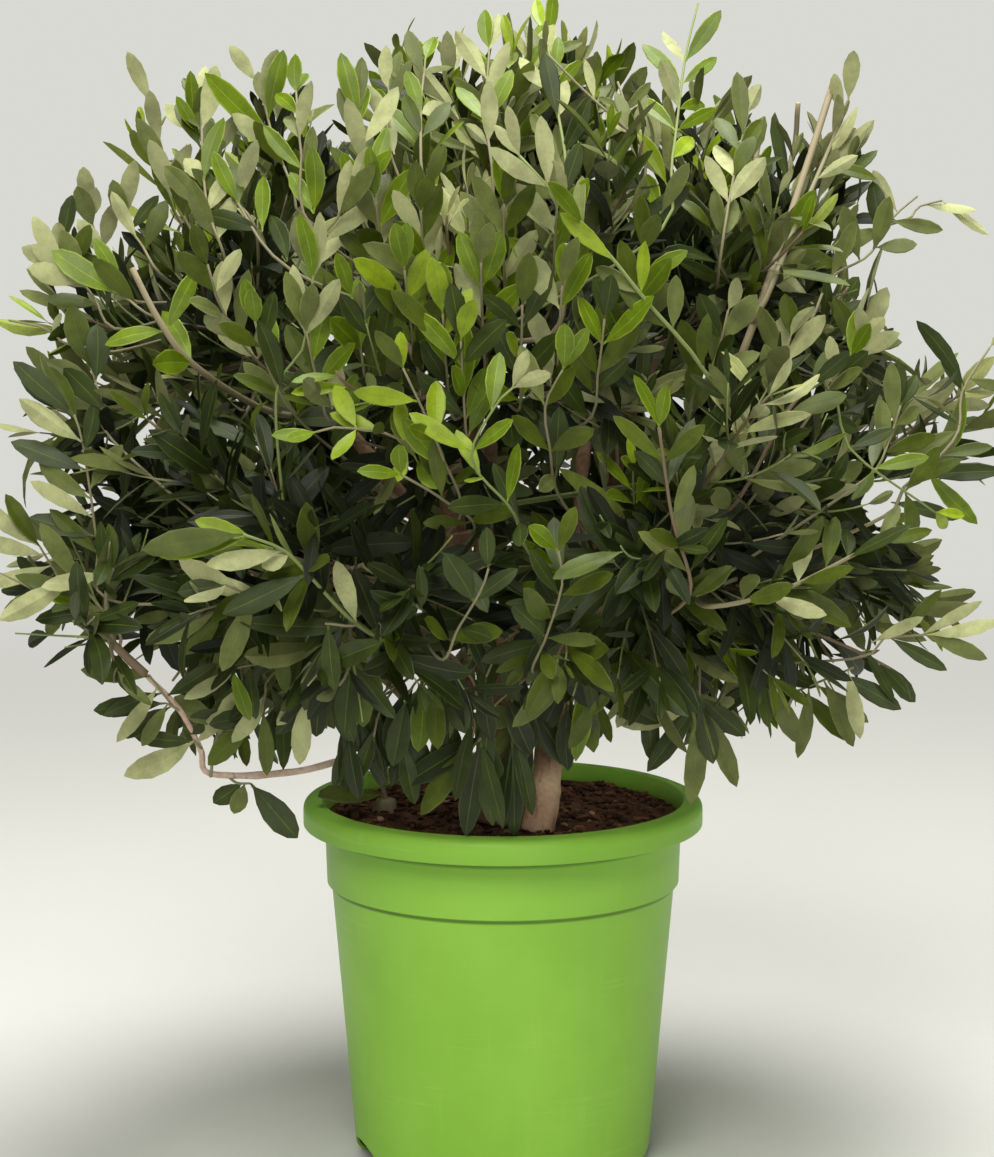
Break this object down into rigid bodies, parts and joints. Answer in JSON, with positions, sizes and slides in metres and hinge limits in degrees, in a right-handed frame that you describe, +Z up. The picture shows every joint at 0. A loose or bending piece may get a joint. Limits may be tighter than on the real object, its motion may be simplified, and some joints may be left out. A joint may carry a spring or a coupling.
{
  "type": "potted olive tree",
  "caption": "Bushy young olive in a tapered round plastic pot: two stems, boughs, and a dense rounded crown of narrow grey-green leaves.",
  "frame": {"origin": "centre of the pot's flat underside", "axes": "+Z up through the crown, -Y towards the side the plant is seen from, +X to that viewer's right"},
  "size_m": [0.7524, 0.724, 0.8717],
  "materials": {
    "pot": "satin, lime green",
    "soil": "rough, crumbly",
    "bark": "rough bark",
    "leaf": "leathery leaves, pale beneath"
  },
  "bodies": {
    "root": {"pot": "pot", "soil": "soil", "trunk": "bark", "second_stem": "bark", "leader": "bark", "bough_upper_left": "bark", "bough_upper_back_left": "bark", "bough_upper_front": "bark", "bough_low_back_right": "bark", "bough_low_front_left": "bark", "bough_low_back_left": "bark", "bough_low_left": "bark", "bough_upper_right": "bark", "bough_upper_back_right": "bark", "bough_low_right": "bark", "bough_low_front_right": "bark", "bough_sweep": "bark", "bough_sweep_end": "bark", "foliage_top": "leaf", "foliage_upper_front": "leaf", "foliage_upper_right": "leaf", "foliage_upper_back_right": "leaf", "foliage_upper_back_left": "leaf", "foliage_upper_left": "leaf", "foliage_low_front_left": "leaf", "foliage_low_front_right": "leaf", "foliage_low_right": "leaf", "foliage_low_back_right": "leaf", "foliage_low_back_left": "leaf", "foliage_low_left": "leaf", "foliage_sweep": "leaf", "sucker": "leaf"}
  },
  "joints": []
}
